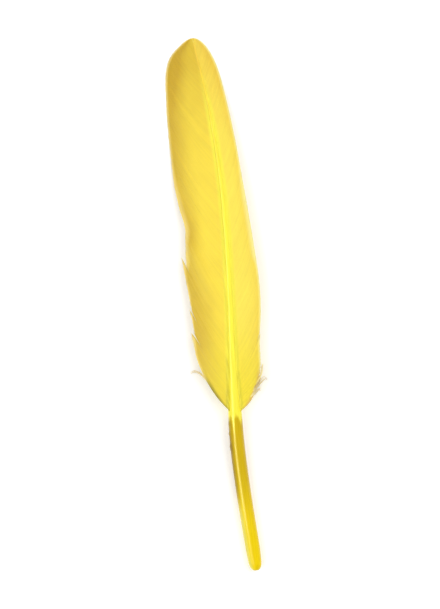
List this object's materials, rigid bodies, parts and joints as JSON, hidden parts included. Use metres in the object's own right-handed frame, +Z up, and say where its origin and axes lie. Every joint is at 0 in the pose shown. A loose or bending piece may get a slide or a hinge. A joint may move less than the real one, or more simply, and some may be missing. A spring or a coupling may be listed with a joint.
{
  "type": "goose quill feather",
  "caption": "Dyed goose quill feather lying on its underside: a bare round quill, a shaft grooved below, and a broad and a narrow vane of slanting barbs.",
  "frame": {"origin": "centre of the feather's footprint, on the surface that it lies on", "axes": "+Y from the quill's end to the feather's tip, +X towards the narrow vane, +Z up from the surface"},
  "size_m": [0.0248, 0.16, 0.0072],
  "materials": {
    "vane": "satin yellow barbs, deeper toward the broad vane's edge and tip",
    "quill": "glossy golden quill, paler and brighter along the vanes"
  },
  "bodies": {
    "root": {"feather": "vane"}
  },
  "joints": []
}
